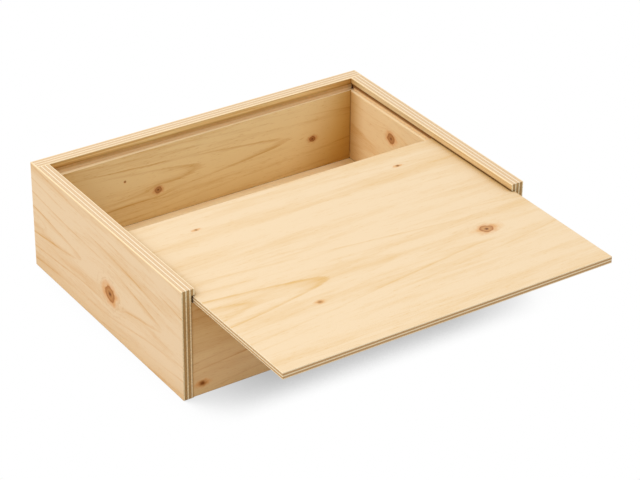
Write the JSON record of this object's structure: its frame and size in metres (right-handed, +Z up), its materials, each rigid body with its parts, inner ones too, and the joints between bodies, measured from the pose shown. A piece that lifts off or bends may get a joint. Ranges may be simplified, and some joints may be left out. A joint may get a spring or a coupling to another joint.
{
  "type": "sliding lid wooden box",
  "caption": "Shallow plywood box for papers and keepsakes, with grooves round the inside of its rim that a flat wooden lid slides in from the front.",
  "frame": {"origin": "middle of the box's rectangular footprint, on the surface it stands on; the lid's overhang isn't counted", "axes": "+X to the right as seen from the front, +Y from the open front edge to the back, +Z up; the lid slides out towards -Y"},
  "size_m": [0.33, 0.377, 0.1],
  "materials": {
    "wall_board": "bare seven-ply pine plywood, sanded",
    "thin_board": "bare five-ply pine plywood, sanded"
  },
  "bodies": {
    "box": {"left_side": "wall_board", "right_side": "wall_board", "back_panel": "wall_board", "front_panel": "wall_board", "bottom_panel": "thin_board"},
    "lid": {"lid": "thin_board"}
  },
  "joints": [
    {"name": "lid_slide", "type": "slide", "parent": "box", "child": "lid", "axis": [0, -1, 0], "range_m": [-0.127, 0.1135]}
  ]
}
